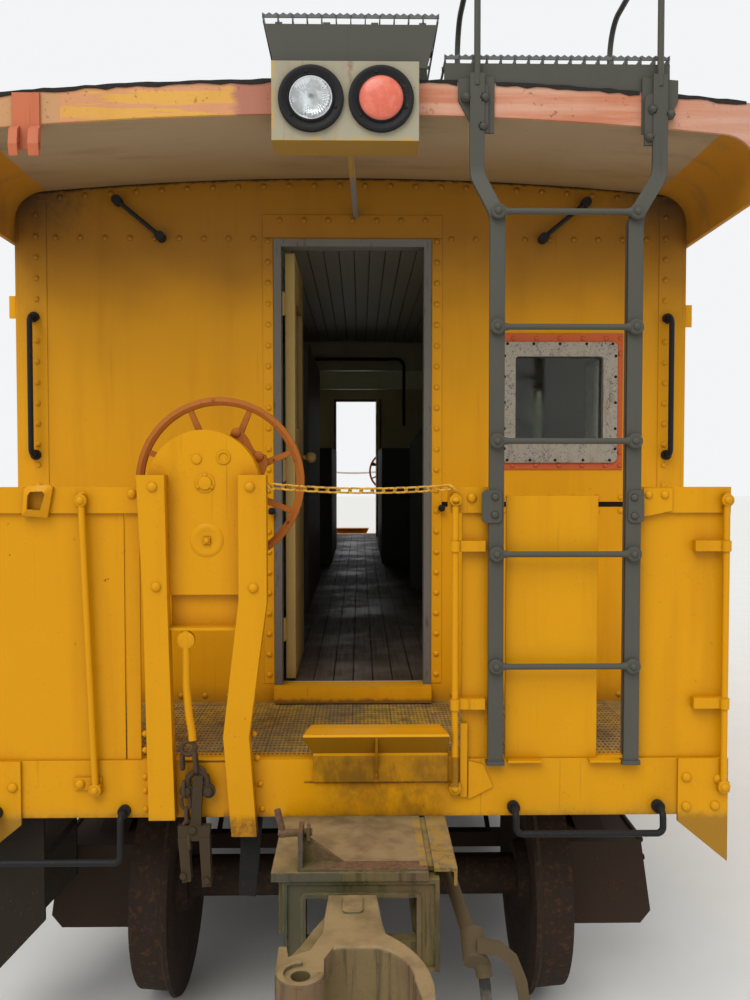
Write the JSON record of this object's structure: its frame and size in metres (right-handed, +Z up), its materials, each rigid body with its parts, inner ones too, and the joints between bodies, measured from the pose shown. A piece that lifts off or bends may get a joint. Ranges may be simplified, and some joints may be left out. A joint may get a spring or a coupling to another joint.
{
  "type": "railway caboose",
  "caption": "Steel railway caboose with open end platforms, roof ladders, hand brake wheels, offset cupola and two swivelling trucks.",
  "frame": {"origin": "on the ground midway between the trucks, under the car's centre line, at the flange tips", "axes": "+Z up, Y along the car with the pictured end at -Y, +X across to the right of one who looks at that end"},
  "size_m": [2.829, 12.428, 4.1903],
  "materials": {
    "yellow_paint": "weathered gloss",
    "cream_paint": "worn satin",
    "beige_paint": "weathered",
    "roof_paint": "weathered matt",
    "blue_grey_iron": "worn satin",
    "black_iron": "worn satin",
    "grey_metal": "worn",
    "aluminium_trim": "dull",
    "red_iron": "rusty orange-red",
    "rusty_iron": "rusted",
    "rusty_casting": "rusted",
    "truck_iron": "grimy",
    "wheel_steel": "rusted",
    "deck_steel": "worn to the metal",
    "floor_boards": "worn",
    "locker_paint": "satin",
    "hose_rubber": "aged",
    "lens": "moulded",
    "glass": "dusty"
  },
  "bodies": {
    "body": {"air_reservoir": "black_iron", "battery_box": "black_iron", "brake_rigging": "rusty_iron", "brake_stands": "yellow_paint", "centre_sill": "black_iron", "couplers": "rusty_casting", "cross_bearers": "black_iron", "crossover_plates": "yellow_paint", "cupola_end_walls": "yellow_paint", "cupola_grab_pipe": "black_iron", "cupola_roof": "roof_paint", "cupola_side_walls": "yellow_paint", "door_frames": "grey_metal", "draft_pockets": "rusty_casting", "end_railings": "yellow_paint", "end_sills": "yellow_paint", "front_brake_hose": "hose_rubber", "front_end_wall": "yellow_paint", "grab_irons": "black_iron", "hanger_straps": "rusty_iron", "hose_couplings": "rusty_casting", "interior_floor": "floor_boards", "interior_lockers": "locker_paint", "ladders": "blue_grey_iron", "lamp_lenses": "lens", "left_side_wall": "yellow_paint", "light_boxes": "beige_paint", "marker_brackets": "yellow_paint", "platform_decks": "deck_steel", "platform_stringers": "black_iron", "rear_brake_hose": "hose_rubber", "rear_end_wall": "yellow_paint", "right_side_wall": "yellow_paint", "roof": "roof_paint", "running_boards": "blue_grey_iron", "safety_chains": "yellow_paint", "side_sills": "black_iron", "side_steps": "black_iron", "smoke_jack": "black_iron", "train_pipes": "rusty_iron", "window_frames": "aluminium_trim", "window_glass": "glass"},
    "front_truck": {"front_truck_frame": "truck_iron", "front_truck_bolster": "truck_iron", "front_truck_springs": "truck_iron", "front_truck_brake_beams": "truck_iron"},
    "front_outer_wheels": {"front_truck_outer_wheelset": "wheel_steel"},
    "front_inner_wheels": {"front_truck_inner_wheelset": "wheel_steel"},
    "front_door": {"front_door": "cream_paint", "front_door_glass": "glass"},
    "front_brake_wheel": {"front_brake_wheel": "red_iron"},
    "rear_truck": {"rear_truck_frame": "truck_iron", "rear_truck_bolster": "truck_iron", "rear_truck_springs": "truck_iron", "rear_truck_brake_beams": "truck_iron"},
    "rear_outer_wheels": {"rear_truck_outer_wheelset": "wheel_steel"},
    "rear_inner_wheels": {"rear_truck_inner_wheelset": "wheel_steel"},
    "rear_door": {"rear_door": "cream_paint", "rear_door_glass": "glass"},
    "rear_brake_wheel": {"rear_brake_wheel": "red_iron"}
  },
  "joints": [
    {"name": "front_truck_swivel", "type": "hinge", "parent": "body", "child": "front_truck", "pos_m": [0, -3.288, 0.772], "axis": [0, 0, 1], "range_deg": [-3, 3]},
    {"name": "front_outer_axle", "type": "hinge", "parent": "front_truck", "child": "front_outer_wheels", "pos_m": [0, -4.507, 0.447], "axis": [1, 0, 0], "continuous": true},
    {"name": "front_inner_axle", "type": "hinge", "parent": "front_truck", "child": "front_inner_wheels", "pos_m": [0, -2.069, 0.447], "axis": [1, 0, 0], "continuous": true},
    {"name": "front_door_hinge", "type": "hinge", "parent": "body", "child": "front_door", "pos_m": [-0.296, -4.3467, 2.1], "axis": [0, 0, 1], "range_deg": [-90, 10]},
    {"name": "front_brake_wheel_spin", "type": "hinge", "parent": "body", "child": "front_brake_wheel", "pos_m": [-0.453, -5.058, 2.078], "axis": [0, 1, 0], "continuous": true},
    {"name": "rear_truck_swivel", "type": "hinge", "parent": "body", "child": "rear_truck", "pos_m": [0, 3.288, 0.772], "axis": [0, 0, 1], "range_deg": [-3, 3]},
    {"name": "rear_outer_axle", "type": "hinge", "parent": "rear_truck", "child": "rear_outer_wheels", "pos_m": [0, 4.507, 0.447], "axis": [1, 0, 0], "continuous": true},
    {"name": "rear_inner_axle", "type": "hinge", "parent": "rear_truck", "child": "rear_inner_wheels", "pos_m": [0, 2.069, 0.447], "axis": [1, 0, 0], "continuous": true},
    {"name": "rear_door_hinge", "type": "hinge", "parent": "body", "child": "rear_door", "pos_m": [0.296, 4.3467, 2.1], "axis": [0, 0, 1], "range_deg": [-90, 10]},
    {"name": "rear_brake_wheel_spin", "type": "hinge", "parent": "body", "child": "rear_brake_wheel", "pos_m": [0.453, 5.058, 2.078], "axis": [0, 1, 0], "continuous": true}
  ]
}
